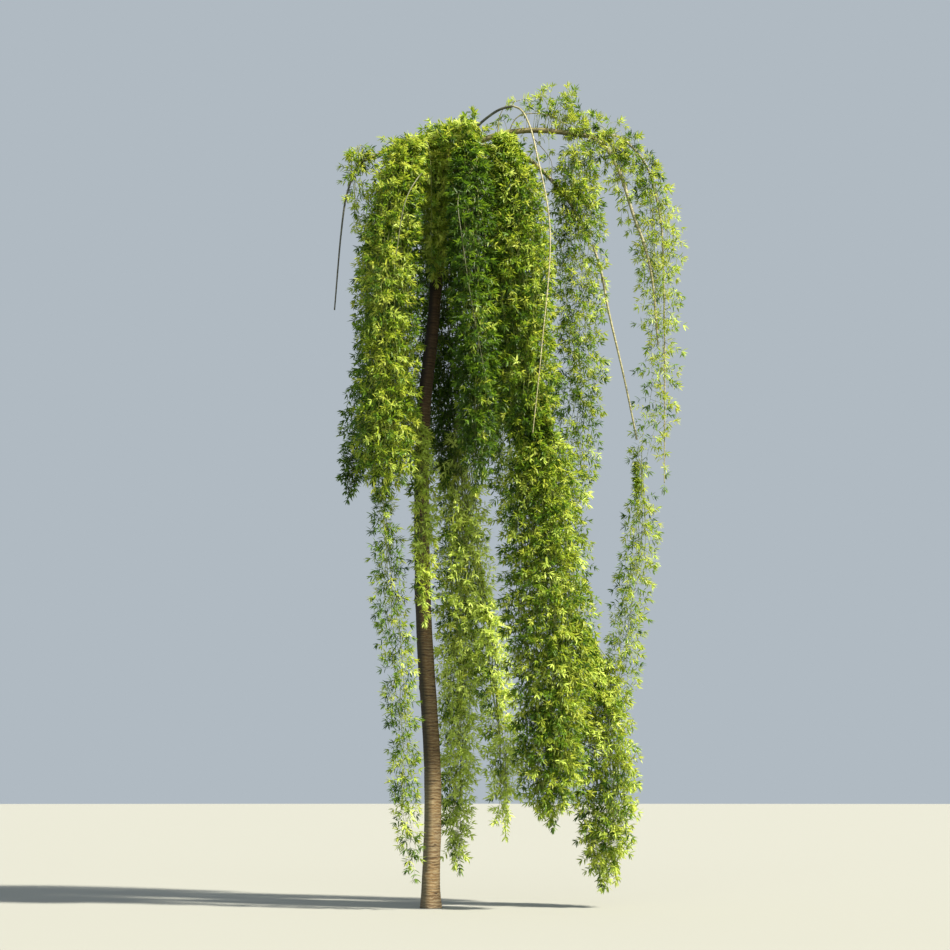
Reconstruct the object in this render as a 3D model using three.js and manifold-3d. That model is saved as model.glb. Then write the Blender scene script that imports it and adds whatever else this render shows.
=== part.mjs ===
// A slender weeping willow, 12 m tall, rooted in level ground.
// One wavy trunk carries a head of arching boughs, and long curtains of leafy shoots hang from
// them, some nearly to the ground. The origin is the centre of the trunk's flat foot, +Z is up,
// the longer side of the crown reaches along +X, and the side that shows best faces -Y.
// Sizes are in millimetres.
import * as THREE from "three";
import { mergeVertices } from "three/addons/utils/BufferGeometryUtils.js";
import Module from "manifold-3d";

const wasm = await Module();
wasm.setup();

// Clearance between solids that touch.
const SEAT_GAP = 0.4;

// Trunk.
const TRUNK_FORK_HEIGHT = 10930;
const TRUNK_RADIUS_LOW = 118;
const TRUNK_RADIUS_FORK = 64;
const TRUNK_TAPER_POWER = 2.2;
const FLARE_RADIUS = 36;
const FLARE_HEIGHT = 210;
const FLARE_ROOTS = 5;
const FLARE_WAVE = 0.35;
const TRUNK_SIDES = 16;
const TRUNK_STEPS = 22;
const CLOSER_LOW = 1.35;
// The bends of the trunk: how far its centre stands from the foot's, and at what height.
const TRUNK_BENDS = [
  [0, 0, 0],
  [32, 15, 1700],
  [-118, -25, 4300],
  [-116, 20, 7050],
  [4, 15, 8100],
  [108, -10, 9500],
  [430, 0, TRUNK_FORK_HEIGHT],
];

// Boughs and bare shoots that show. "line" is the centre line from the trunk outwards, "thick"
// the radius at its two ends, and "into" the leaf masses that it ends in or comes out of.
const BOUGH_SIDES = 6;
const BOUGH_STEP = 330;
const FEWEST_STEPS = 5;
const BOUGHS = {
  bough_right_high: {
    line: [
      [425, 0, 10900], [740, 0, 11030], [1075, 0, 11135],
      [1500, 10, 11180], [2105, 60, 11140], [2380, 100, 11105],
    ],
    thick: [46, 34],
  },
  bough_right_outer: {
    line: [
      [2370, 100, 11115], [2715, 120, 11130], [2970, 150, 10940], [3175, 200, 10650],
      [3275, 220, 10300], [3360, 250, 9835], [3385, 270, 9100], [3380, 270, 7900],
    ],
    thick: [20, 9],
    into: ["leaves_far_right_high"],
  },
  bough_right_inner: {
    line: [
      [2380, 100, 11095], [2580, 80, 10900], [2760, 40, 10490],
      [2940, 0, 9850], [3080, 0, 9440], [3190, 40, 8940], [3270, 120, 7960],
    ],
    thick: [30, 13],
    into: ["leaves_far_right_high"],
  },
  bough_right_low: {
    line: [
      [430, 0, 10730], [660, 0, 10840], [1070, -60, 10880],
      [1290, -100, 10775], [1525, -130, 10580], [1970, -150, 10060],
    ],
    thick: [40, 24],
    into: ["leaves_right_inner"],
  },
  bough_whip_rise: {
    line: [
      [430, -20, 10940], [575, -40, 11143], [780, -130, 11310],
      [980, -250, 11403], [1170, -380, 11407],
    ],
    thick: [21, 18],
  },
  bough_whip_fall: {
    line: [
      [1171, -381, 11407], [1285, -450, 11320], [1395, -550, 11070], [1500, -800, 10515],
      [1663, -1150, 9295], [1523, -1450, 7505], [1393, -1600, 6320],
    ],
    thick: [17, 8],
  },
  bough_left_high: {
    line: [
      [410, 0, 10860], [105, -150, 10880], [-255, -280, 10835],
      [-615, -380, 10755], [-800, -430, 10645], [-1013, -470, 10525],
    ],
    thick: [40, 22],
    into: ["leaves_left_outer"],
  },
  shoot_left_bare: {
    line: [
      [-1124, -500, 10333], [-1200, -500, 10115], [-1248, -500, 9900],
      [-1300, -500, 9437], [-1379, -500, 8317],
    ],
    thick: [22, 11],
    into: ["leaves_left_outer"],
  },
  shoot_front_left: {
    line: [
      [-330, -1180, 10200], [-165, -1500, 9945], [-275, -1620, 9720],
      [-355, -1700, 9465], [-454, -1800, 8727],
    ],
    thick: [14, 8],
    into: ["leaves_left_front"],
  },
  shoot_front_centre: {
    line: [
      [430, -1250, 9900], [380, -1520, 9560], [445, -1600, 9000],
      [560, -1600, 8200], [770, -1560, 7050],
    ],
    thick: [10, 6],
    into: ["leaves_centre_front"],
  },
  stem_right_fall: {
    line: [
      [2330, -100, 9400], [2455, -100, 8937], [2530, -80, 8490],
      [2760, 0, 7455], [2942, 80, 6550],
    ],
    thick: [20, 12],
    into: ["leaves_right_inner", "leaves_far_right_high"],
  },
};

// Boughs within the head: each leaves the trunk at a height, arches by "rise" over the straight
// line, and ends in the top of the curtain that it carries.
const CARRIER_TAPER = 0.68;
const CARRIER_DEPTH = 420;
const CARRIER_CROWN = 0.55;
const CARRIERS = {
  bough_front_left: { leaves: 10560, rise: 230, thick: 46, carries: "leaves_left_front" },
  bough_front: { leaves: 10420, rise: 220, thick: 42, carries: "leaves_centre_front" },
  bough_front_right: { leaves: 10640, rise: 190, thick: 46, carries: "leaves_right_front_high" },
  bough_left_mid: { leaves: 10200, rise: 160, thick: 40, carries: "leaves_left_mid" },
  bough_rear_left: { leaves: 10500, rise: 230, thick: 46, carries: "leaves_left_rear" },
  bough_rear: { leaves: 10300, rise: 220, thick: 44, carries: "leaves_centre_rear" },
  bough_heart: { leaves: 10100, rise: 150, thick: 40, carries: "leaves_heart" },
  bough_rear_right: { leaves: 10580, rise: 230, thick: 50, carries: "leaves_right_rear_high" },
  bough_far_rear: { leaves: 10760, rise: 330, thick: 44, carries: "leaves_far_rear" },
};

// Leaf masses. A curtain hangs from "top" to "foot" heights about the point "at" in plan. It
// starts at the point "from", wanders by "drift" at its foot and by "bow" half way down. "wide"
// and "deep" are its half sizes along X and Y at the top and at the foot.
const CURTAIN_SIDES = 10;
const CURTAIN_RING = 650;
const FEWEST_RINGS = 6;
const END_RINGS = 3;
const SHOULDER = 0.3;
const ROUND_TOP = 0.42;
const ROUND_FOOT = 0.25;
const CURTAINS = {
  leaves_left_front: {
    at: [-600, -1150], from: [-200, -780], top: 10960, foot: 5500,
    wide: [440, 470], deep: [480, 460],
  },
  leaves_left_mid: {
    at: [-580, 150], from: [-260, 60], top: 11000, foot: 5950,
    wide: [400, 380], deep: [560, 540],
  },
  leaves_left_rear: {
    at: [-800, 1180], from: [-320, 700], top: 11060, foot: 5850, drift: [-470, 0], bow: [250, 0],
    wide: [350, 420], deep: [500, 480],
  },
  leaves_left_outer: {
    at: [-1120, -500], from: [-960, -470], top: 10880, foot: 9400,
    wide: [220, 120], deep: [260, 200],
  },
  leaves_centre_short: {
    at: [60, -600], from: [110, -380], top: 10950, foot: 8550,
    wide: [230, 170], deep: [230, 200],
  },
  leaves_centre_front: {
    at: [560, -1180], from: [430, -760], top: 10900, foot: 5500, drift: [110, 40],
    wide: [370, 240], deep: [420, 300],
  },
  leaves_centre_rear: {
    at: [150, 1370], from: [270, 740], top: 11100, foot: 6050,
    wide: [500, 460], deep: [540, 500],
  },
  leaves_heart: {
    at: [900, 230], from: [700, 120], top: 10980, foot: 6150,
    wide: [380, 400], deep: [480, 460],
  },
  leaves_right_front_high: {
    at: [1190, -860], from: [820, -560], top: 10980, foot: 6000, drift: [200, 0],
    wide: [420, 600], deep: [460, 460],
  },
  leaves_right_rear_high: {
    at: [1290, 1120], from: [1000, 660], top: 11100, foot: 6300, drift: [130, 0],
    wide: [380, 500], deep: [600, 560],
  },
  leaves_right_inner: {
    at: [2200, -60], from: [2120, 0], top: 11200, foot: 5150, drift: [30, 0],
    wide: [500, 340], deep: [520, 340],
  },
  leaves_far_right_high: {
    at: [3310, 270], from: [3060, 220], top: 10960, foot: 5700, drift: [-270, -70], bow: [130, 0],
    wide: [390, 290], deep: [480, 400],
  },
  leaves_far_rear: {
    at: [1080, 2080], from: [980, 1640], top: 10700, foot: 5100, drift: [60, -60],
    wide: [440, 380], deep: [400, 340],
  },
  leaves_right_front_low: {
    at: [1580, -780], from: [1520, -820], top: 6700, foot: 980, drift: [70, 40], bow: [50, 0],
    wide: [680, 560], deep: [470, 400],
  },
  leaves_right_rear_low: {
    at: [1780, 1080], from: [1740, 1120], top: 6820, foot: 1480, drift: [140, -60],
    wide: [580, 450], deep: [480, 400],
  },
  leaves_mid: {
    at: [410, 760], from: [380, 1080], top: 7300, foot: 340, drift: [-140, -260],
    wide: [470, 170], deep: [400, 160],
  },
  leaves_mid_right: {
    at: [700, 450], from: [620, 540], top: 4650, foot: 900, drift: [170, -60], bow: [110, 0],
    wide: [200, 340], deep: [220, 280],
  },
  leaves_rear_low: {
    at: [330, 1360], from: [280, 1380], top: 6600, foot: 2300, drift: [90, -60],
    wide: [360, 220], deep: [360, 240],
  },
  leaves_left_low: {
    at: [-680, -760], from: [-640, -1120], top: 5950, foot: 240, drift: [490, 200], bow: [-20, 0],
    wide: [280, 150], deep: [280, 170],
  },
  leaves_trunk_veil: {
    at: [-160, -740], from: [-330, -1000], top: 7000, foot: 3500, drift: [110, 100],
    wide: [210, 110], deep: [210, 110],
  },
  leaves_far_right_low: {
    at: [3110, 200], from: [3110, 200], top: 6160, foot: 2380, drift: [-560, -110], bow: [30, 0],
    wide: [280, 240], deep: [340, 290],
  },
  leaves_right_foot: {
    at: [2460, 100], from: [2600, 110], top: 3450, foot: 170, drift: [-50, 0],
    wide: [460, 270], deep: [400, 270],
  },
  leaves_right_shoulder: {
    at: [2750, 60], from: [2700, 80], top: 11080, foot: 10150,
    wide: [330, 200], deep: [330, 250],
  },
};

// Leaf masses that ride on top of a limb. "line" is the centre line, "half" the half sizes across
// it, level and upright, and "droop" how far its two sides hang below the middle.
const CREST_RING = 300;
const CRESTS = {
  leaves_crest_right: {
    line: [
      [760, 170, 11130], [1060, 160, 11480], [1450, 150, 11610], [1850, 150, 11560],
      [2310, 150, 11330], [2770, 160, 11130], [3210, 190, 10840], [3500, 210, 10330],
    ],
    half: [400, 400],
    droop: 120,
  },
  leaves_crown_top: {
    line: [
      [-980, 40, 10740], [-480, 60, 10850], [-50, 80, 10940],
      [320, 90, 11090], [560, 100, 11190], [880, 120, 11090],
    ],
    half: [1080, 210],
    droop: 420,
  },
};

const BARK_COLOUR = 0x6d5a44;
const YOUNG_BARK_COLOUR = 0x8a8a5c;
const LEAF_COLOURS = [0x86a03a, 0x6f8f33, 0x93a83e, 0x5f8036];

// Moves each vertex of a three.js primitive to the place that a rule gives it.
function bend(geometry, place) {
  const position = geometry.getAttribute("position");
  const p = new THREE.Vector3();
  for (let i = 0; i < position.count; i++) {
    place(p.fromBufferAttribute(position, i));
    position.setXYZ(i, p.x, p.y, p.z);
  }
  geometry.deleteAttribute("normal");
  geometry.deleteAttribute("uv");
  return mergeVertices(geometry, 1e-3);
}

const smoothLine = (points) =>
  new THREE.CatmullRomCurve3(points.map((p) => new THREE.Vector3(...p)), false, "centripetal");

function trunkRadius(height, angle) {
  const share = 1 - (height / TRUNK_FORK_HEIGHT) ** TRUNK_TAPER_POWER;
  const flare = FLARE_RADIUS * Math.exp(-height / FLARE_HEIGHT);
  return (
    TRUNK_RADIUS_FORK +
    (TRUNK_RADIUS_LOW - TRUNK_RADIUS_FORK) * share +
    flare * (1 + FLARE_WAVE * Math.cos(FLARE_ROOTS * angle))
  );
}

// The trunk is a cylinder whose level rings are moved to the wavy line, closer near the flare.
function trunkGeometry() {
  const line = smoothLine(TRUNK_BENDS);
  return bend(new THREE.CylinderGeometry(1, 1, 1, TRUNK_SIDES, TRUNK_STEPS), (p) => {
    const share = (p.y + 0.5) ** CLOSER_LOW;
    const centre = line.getPointAt(Math.min(share, 1));
    const radius = trunkRadius(centre.z, Math.atan2(-p.z, p.x));
    p.set(centre.x + p.x * radius, centre.y - p.z * radius, centre.z);
  });
}

// Where a curtain's middle hangs in plan, at a share of its height from the top.
function hangingCentre({ at, from, drift = [0, 0], bow = [0, 0] }, share) {
  const reach = Math.max(0, 1 - share / SHOULDER) ** 2;
  return [0, 1].map(
    (k) => at[k] + drift[k] * share + bow[k] * Math.sin(Math.PI * share) + (from[k] - at[k]) * reach,
  );
}

// The line of a bough within the head.
function carrierLine({ leaves, rise, carries }) {
  const trunk = smoothLine(TRUNK_BENDS);
  const reached = THREE.MathUtils.clamp(leaves / TRUNK_FORK_HEIGHT, 0, 1);
  const start = trunk.getPointAt(reached);
  const curtain = CURTAINS[carries];
  const share = CARRIER_DEPTH / (curtain.top - curtain.foot);
  const end = new THREE.Vector3(...hangingCentre(curtain, share), curtain.top - CARRIER_DEPTH);
  const crown = start.clone().lerp(end, CARRIER_CROWN).add(new THREE.Vector3(0, 0, rise));
  return [start, crown, end].map((p) => p.toArray());
}

// A bough is a cylinder bent along its line and tapered from one end to the other.
function limbGeometry({ line, thick }) {
  const curve = smoothLine(line);
  const steps = Math.max(FEWEST_STEPS, Math.round(curve.getLength() / BOUGH_STEP));
  const frames = curve.computeFrenetFrames(steps, false);
  return bend(new THREE.CylinderGeometry(1, 1, 1, BOUGH_SIDES, steps), (p) => {
    const share = p.y + 0.5;
    const k = Math.round(share * steps);
    const radius = THREE.MathUtils.lerp(thick[0], thick[1], share);
    const across = frames.normals[k].clone().multiplyScalar(p.x * radius);
    const aside = frames.binormals[k].clone().multiplyScalar(-p.z * radius);
    p.copy(curve.getPointAt(share)).add(across).add(aside);
  });
}

// How far a mass swells or shrinks round its outline. The shift gives each mass its own shape.
const SWELLS = [
  { height: 0.09, around: 3, down: 5, shift: 1.7 },
  { height: 0.06, around: 5, down: 11, shift: -2.3 },
  { height: 0.06, around: 0, down: 17, shift: 0.9 },
];
function uneven(angle, share, seed) {
  return SWELLS.reduce(
    (sum, s) => sum + s.height * Math.sin(s.around * angle + s.down * share + s.shift * seed),
    1,
  );
}

// A curtain is a sphere drawn out downwards, whose level rings follow the hanging line.
function curtainGeometry(c, seed) {
  const rings = Math.max(FEWEST_RINGS, Math.round((c.top - c.foot) / CURTAIN_RING) + END_RINGS);
  return bend(new THREE.SphereGeometry(1, CURTAIN_SIDES, rings), (p) => {
    const share = Math.acos(THREE.MathUtils.clamp(p.y, -1, 1)) / Math.PI;
    const round = Math.hypot(p.x, p.z);
    const angle = Math.atan2(-p.z, p.x);
    const centre = hangingCentre(c, share);
    const rounding = share < 0.5 ? ROUND_TOP : ROUND_FOOT;
    const fullness = round < 1e-6 ? 0 : round ** rounding * uneven(angle, share, seed);
    const wide = THREE.MathUtils.lerp(c.wide[0], c.wide[1], share) * fullness;
    const deep = THREE.MathUtils.lerp(c.deep[0], c.deep[1], share) * fullness;
    p.set(
      centre[0] + wide * Math.cos(angle),
      centre[1] + deep * Math.sin(angle),
      THREE.MathUtils.lerp(c.top, c.foot, share),
    );
  });
}

// A crest is a sphere drawn out along a limb.
function crestGeometry({ line, half, droop }, seed) {
  const curve = smoothLine(line);
  const rings = Math.round(curve.getLength() / CREST_RING) + END_RINGS;
  return bend(new THREE.SphereGeometry(1, CURTAIN_SIDES, rings), (p) => {
    const share = 1 - Math.acos(THREE.MathUtils.clamp(p.y, -1, 1)) / Math.PI;
    const round = Math.hypot(p.x, p.z);
    const angle = Math.atan2(-p.z, p.x);
    const fullness = round < 1e-6 ? 0 : Math.sqrt(round) * uneven(angle, share, seed);
    const centre = curve.getPointAt(share);
    const aside = fullness * Math.cos(angle);
    const upright = fullness * Math.sin(angle);
    p.set(centre.x, centre.y + half[0] * aside, centre.z + half[1] * upright - droop * aside ** 2);
  });
}

function solid(geometry) {
  return new wasm.Manifold(
    new wasm.Mesh({
      numProp: 3,
      vertProperties: geometry.getAttribute("position").array,
      triVerts: new Uint32Array(geometry.index.array),
    }),
  );
}

// The same shape with its skin pushed out by the clearance: what is cut from a neighbour.
function grown(geometry) {
  const position = geometry.getAttribute("position");
  const corners = Array.from(geometry.index.array);
  const points = Array.from({ length: position.count }, (_, i) =>
    new THREE.Vector3().fromBufferAttribute(position, i),
  );
  const outwards = points.map(() => new THREE.Vector3());
  for (let i = 0; i < corners.length; i += 3) {
    const [a, b, c] = corners.slice(i, i + 3);
    const facing = new THREE.Triangle(points[a], points[b], points[c]).getNormal(new THREE.Vector3());
    for (const corner of [a, b, c]) outwards[corner].add(facing);
  }
  const bigger = geometry.clone();
  points.forEach((p, i) => {
    p.addScaledVector(outwards[i].normalize(), SEAT_GAP);
    bigger.getAttribute("position").setXYZ(i, p.x, p.y, p.z);
  });
  return solid(bigger);
}

function cut(body, cutters) {
  let left = body;
  for (const cutter of cutters) left = left.subtract(cutter);
  // An end cut off by a neighbour isn't kept.
  return left.decompose().reduce((a, b) => (a.volume() > b.volume() ? a : b));
}

function boxesMeet(a, b) {
  const [one, two] = [a.boundingBox(), b.boundingBox()];
  return [0, 1, 2].every((k) => one.min[k] < two.max[k] && two.min[k] < one.max[k]);
}

const outlines = {};
outlines.trunk = trunkGeometry();
for (const [name, bough] of Object.entries(CARRIERS))
  BOUGHS[name] = {
    line: carrierLine(bough),
    thick: [bough.thick, bough.thick * CARRIER_TAPER],
    into: [bough.carries],
  };
for (const [name, bough] of Object.entries(BOUGHS)) outlines[name] = limbGeometry(bough);
Object.entries(CURTAINS).forEach(([name, curtain], i) => (outlines[name] = curtainGeometry(curtain, i)));
Object.entries(CRESTS).forEach(([name, crest], i) => (outlines[name] = crestGeometry(crest, i + 0.5)));

const boughNames = Object.keys(BOUGHS);
const massNames = [...Object.keys(CURTAINS), ...Object.keys(CRESTS)];
const cutters = Object.fromEntries(Object.entries(outlines).map(([name, g]) => [name, grown(g)]));
const finished = { trunk: solid(outlines.trunk) };

// A bough is seated on the trunk and on the boughs before it, and ends where it meets its mass.
boughNames.forEach((name, i) => {
  const neighbours = ["trunk", ...boughNames.slice(0, i), ...(BOUGHS[name].into ?? [])];
  finished[name] = cut(solid(outlines[name]), neighbours.map((n) => cutters[n]));
});

// A mass is cut round the wood that passes it, and seated on the masses before it.
massNames.forEach((name, i) => {
  const passing = boughNames.filter((n) => !BOUGHS[n].into?.includes(name));
  const neighbours = ["trunk", ...passing, ...massNames.slice(0, i)];
  const raw = solid(outlines[name]);
  finished[name] = cut(raw, neighbours.map((n) => cutters[n]).filter((c) => boxesMeet(c, raw)));
});

// Each solid becomes a mesh that stands at the low corner of its own box.
function meshOf(name, body, material) {
  const made = body.getMesh();
  const geometry = new THREE.BufferGeometry();
  geometry.setAttribute("position", new THREE.BufferAttribute(made.vertProperties, 3));
  geometry.setIndex(new THREE.BufferAttribute(made.triVerts, 1));
  geometry.computeBoundingBox();
  const corner = geometry.boundingBox.min.clone().round();
  geometry.translate(-corner.x, -corner.y, -corner.z);
  const mesh = new THREE.Mesh(geometry, material);
  mesh.name = name;
  mesh.position.copy(corner);
  return mesh;
}

const bark = new THREE.MeshStandardMaterial({ color: BARK_COLOUR, roughness: 0.9, metalness: 0 });
const youngBark = new THREE.MeshStandardMaterial({ color: YOUNG_BARK_COLOUR, roughness: 0.7, metalness: 0 });
const leaves = LEAF_COLOURS.map(
  (color) => new THREE.MeshStandardMaterial({ color, roughness: 0.6, metalness: 0 }),
);

const wood = new THREE.Group();
wood.add(meshOf("trunk", finished.trunk, bark));
for (const name of boughNames) wood.add(meshOf(name, finished[name], youngBark));
const foliage = new THREE.Group();
massNames.forEach((name, i) => foliage.add(meshOf(name, finished[name], leaves[i % leaves.length])));

const willow = new THREE.Group();
willow.add(wood, foliage);
export default willow;
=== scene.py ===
# A slender weeping willow, 12 m tall, standing on a plain pale floor.
# Its trunk and boughs are barked limbs; its head is long hanging shoots with leafy side twigs.
import math

import bmesh
import bpy
import numpy as np
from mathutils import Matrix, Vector, noise
from mathutils.bvhtree import BVHTree


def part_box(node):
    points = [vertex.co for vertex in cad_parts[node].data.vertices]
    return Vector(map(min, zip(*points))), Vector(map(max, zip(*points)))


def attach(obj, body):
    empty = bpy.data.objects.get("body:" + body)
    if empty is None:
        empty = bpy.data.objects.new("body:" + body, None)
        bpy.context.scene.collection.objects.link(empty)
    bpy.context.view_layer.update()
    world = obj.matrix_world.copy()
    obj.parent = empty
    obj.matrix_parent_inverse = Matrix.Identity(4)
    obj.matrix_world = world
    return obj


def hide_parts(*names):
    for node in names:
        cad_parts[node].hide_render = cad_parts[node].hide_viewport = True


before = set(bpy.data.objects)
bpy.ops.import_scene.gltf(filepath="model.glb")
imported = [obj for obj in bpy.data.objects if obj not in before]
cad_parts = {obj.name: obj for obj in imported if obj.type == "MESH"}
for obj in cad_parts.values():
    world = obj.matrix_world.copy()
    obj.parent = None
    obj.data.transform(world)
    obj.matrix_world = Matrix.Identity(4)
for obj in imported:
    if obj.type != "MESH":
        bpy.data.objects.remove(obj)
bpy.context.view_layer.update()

# The camera is at standing eye height, 26 m off, and looks a little up the tree. Its distance and
# tilt put eye level and the top leaf where the picture has them.
EYE_HEIGHT = 1.5
CAMERA_DISTANCE = 26.25
CAMERA_ASIDE = 0.617
CAMERA_TILT = math.radians(9.78)
FOCAL_PX = 1868
FRAME_PX = 950

camera_data = bpy.data.cameras.new("camera")
camera_data.lens = camera_data.sensor_width * FOCAL_PX / FRAME_PX
camera = bpy.data.objects.new("camera", camera_data)
camera.location = (CAMERA_ASIDE, -CAMERA_DISTANCE, EYE_HEIGHT)
camera.rotation_euler = (math.pi / 2 + CAMERA_TILT, 0, 0)
bpy.context.scene.collection.objects.link(camera)
bpy.context.scene.camera = camera

# The trunk is one wavy stem of green wood under thin bark. Young willow bark wrinkles into
# broken level rings and keeps pale scars. Small knots mark where twigs have dropped.
TRUNK_SIDES = 30
TRUNK_STEP = 0.016
TRUNK_CUT_STEP = 0.12
RING_PITCH = 0.042
RING_DEPTH = 0.0016
LUMP_DEPTH = 0.006
LUMP_LENGTH = 0.35
KNOTS = 16
KNOT_SIZE = 0.035
KNOT_DEPTH = (0.006, 0.016)
KNOT_HEIGHTS = (0.4, 9.0)
KNOT_SEED = 7
# How often, across and up, the rings wander, break and fade; how many rings they wander by; and
# how deep the breaks are.
RING_WANDER = (7, 7, 1.5)
RING_BREAKS = (16, 16, 40)
RING_FADES = (5, 5, 6)
RING_DRIFT = 2.5
RING_BREAK_DEPTH = 0.7
# The wave texture's bands are this far apart at a scale of 1.
RING_WAVE = 0.314
# Wrinkles in the bark are this many times as wide as they are high.
WRINKLE_STRETCH = 8.0
# Level cuts through a node stay this far inside its ends.
CUT_MARGIN = 0.004


def linear(hex_colour):
    """An sRGB hex value as the linear colour that a shader takes."""
    parts = [int(hex_colour[i : i + 2], 16) / 255 for i in (1, 3, 5)]
    return [p / 12.92 if p <= 0.04045 else ((p + 0.055) / 1.055) ** 2.4 for p in parts] + [1.0]


def add_node(tree, kind, inputs=(), **settings):
    """Adds a node, with its settings, and with each named input set to a value or linked."""
    node = tree.nodes.new(kind)
    for name, value in settings.items():
        setattr(node, name, value)
    for name, value in dict(inputs).items():
        if isinstance(value, bpy.types.NodeSocket):
            tree.links.new(value, node.inputs[name])
        else:
            node.inputs[name].default_value = value
    return node


def new_material(name):
    material = bpy.data.materials.new(name)
    material.use_nodes = True
    material.node_tree.nodes.clear()
    return material, material.node_tree


def rings_and_painted_shade(tree, place, bark, colours):
    """Lays level rings over bark, and painted shade on its side away from the key light and under the
    crown.
    """
    rings = add_node(
        tree, "ShaderNodeTexWave", wave_type="BANDS", bands_direction="Z",
        inputs={
            "Vector": place, "Scale": RING_WAVE / RING_PITCH,
            "Distortion": 6.0, "Detail": 3.0, "Detail Scale": 1.6,
        },
    )
    ridge = add_node(
        tree, "ShaderNodeMapRange",
        inputs={"Value": rings.outputs["Fac"], "From Min": 0.55, "From Max": 1.0, "To Max": 0.5},
    )
    ringed = add_node(
        tree, "ShaderNodeMix", data_type="RGBA",
        inputs={"Factor": ridge.outputs[0], "A": bark.outputs["Result"], "B": linear(colours["scar"])},
    )
    # Painted shade: bark that faces away from the key light is mixed toward a dark grey-green.
    facing = add_node(
        tree, "ShaderNodeSeparateXYZ",
        inputs={"Vector": add_node(tree, "ShaderNodeNewGeometry").outputs["Normal"]},
    )
    shaded = add_node(
        tree, "ShaderNodeMapRange",
        inputs={"Value": facing.outputs["X"], "From Min": 0.0, "From Max": -0.55, "To Max": 0.85},
    )
    green = add_node(
        tree, "ShaderNodeMix", data_type="RGBA",
        inputs={"Factor": shaded.outputs[0], "A": ringed.outputs["Result"], "B": linear(colours["painted_side_shade"])},
    )
    # Painted shade: above its foot the bark is multiplied darker, and more so higher up, where the crown
    # shades it.
    height = add_node(tree, "ShaderNodeSeparateXYZ", inputs={"Vector": place})
    share = add_node(
        tree, "ShaderNodeMapRange", inputs={"Value": height.outputs["Z"], "From Max": 11.0}
    )
    painted_crown_shade = add_node(tree, "ShaderNodeValToRGB", inputs={"Fac": share.outputs[0]})
    stops = painted_crown_shade.color_ramp.elements
    stops[0].position, stops[0].color = 0.13, linear("#ffffff")
    stops[1].position, stops[1].color = 0.68, linear(colours["high"])
    for position, colour in ((0.19, colours["low"]), (0.50, colours["low"])):
        stops.new(position).color = linear(colour)
    return add_node(
        tree, "ShaderNodeMix", data_type="RGBA", blend_type="MULTIPLY",
        inputs={"Factor": 1.0, "A": green.outputs["Result"], "B": painted_crown_shade.outputs["Color"]},
    )


def bark_material(name, colours, wrinkle, roughness, old=False):
    """Thin wrinkled bark: dark in the wrinkles, lighter on the plates, with pale broken scars.
    Old bark also has level rings, painted shade on its side away from the key light, and painted shade
    above its foot."""
    material, tree = new_material(name)
    place = add_node(tree, "ShaderNodeTexCoord").outputs["Object"]
    stretched = add_node(
        tree, "ShaderNodeMapping", inputs={"Vector": place, "Scale": (1.0, 1.0, WRINKLE_STRETCH)}
    )
    wrinkles = add_node(
        tree, "ShaderNodeTexNoise",
        inputs={
            "Vector": stretched.outputs[0], "Scale": 1 / (wrinkle * WRINKLE_STRETCH),
            "Detail": 4.0, "Roughness": 0.62, "Distortion": 0.3,
        },
    )
    ramp = add_node(tree, "ShaderNodeValToRGB", inputs={"Fac": wrinkles.outputs["Fac"]})
    stops = ramp.color_ramp.elements
    stops[0].position, stops[0].color = 0.34, linear(colours["crack"])
    stops[1].position, stops[1].color = 0.68, linear(colours["scar"])
    for position, colour in ((0.44, colours["plate"]), (0.56, colours["worn"])):
        stops.new(position).color = linear(colour)
    # Weathering and algae lie over the bark in soft patches.
    patches = add_node(
        tree, "ShaderNodeTexNoise", inputs={"Vector": place, "Scale": 3.0, "Detail": 3.0}
    )
    shown = add_node(
        tree, "ShaderNodeMapRange",
        inputs={"Value": patches.outputs["Fac"], "From Min": 0.42, "From Max": 0.7, "To Max": 0.6},
    )
    mixed = add_node(
        tree, "ShaderNodeMix", data_type="RGBA",
        inputs={"Factor": shown.outputs[0], "A": ramp.outputs["Color"], "B": linear(colours["film"])},
    )
    if old:
        mixed = rings_and_painted_shade(tree, place, mixed, colours)
    bump = add_node(
        tree, "ShaderNodeBump",
        inputs={"Strength": 0.7, "Distance": 0.006, "Height": wrinkles.outputs["Fac"]},
    )
    surface = add_node(
        tree, "ShaderNodeBsdfPrincipled",
        inputs={
            "Base Color": mixed.outputs["Result"], "Roughness": roughness,
            "Normal": bump.outputs["Normal"], "IOR": 1.45,
        },
    )
    add_node(tree, "ShaderNodeOutputMaterial", inputs={"Surface": surface.outputs["BSDF"]})
    return material


def level_cuts(node, step):
    """Heights from the top of a node down, with the centre and half sizes of its level cuts."""
    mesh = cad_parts[node].data
    points = np.array([v.co for v in mesh.vertices])
    edges = points[np.array([e.vertices for e in mesh.edges])]
    low, high = points[:, 2].min(), points[:, 2].max()
    heights, middles, halves = [], [], []
    for height in np.linspace(high - CUT_MARGIN, low + CUT_MARGIN, int((high - low) / step) + 2):
        above = edges[:, :, 2] > height
        crossing = edges[above[:, 0] != above[:, 1]]
        share = (height - crossing[:, 0, 2]) / (crossing[:, 1, 2] - crossing[:, 0, 2])
        cut = crossing[:, 0] + (crossing[:, 1] - crossing[:, 0]) * share[:, None]
        near, far = cut[:, :2].min(0), cut[:, :2].max(0)
        heights.append(height)
        middles.append((far + near) / 2)
        halves.append((far - near) / 2)
    return np.array(heights), np.array(middles), np.array(halves)


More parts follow.
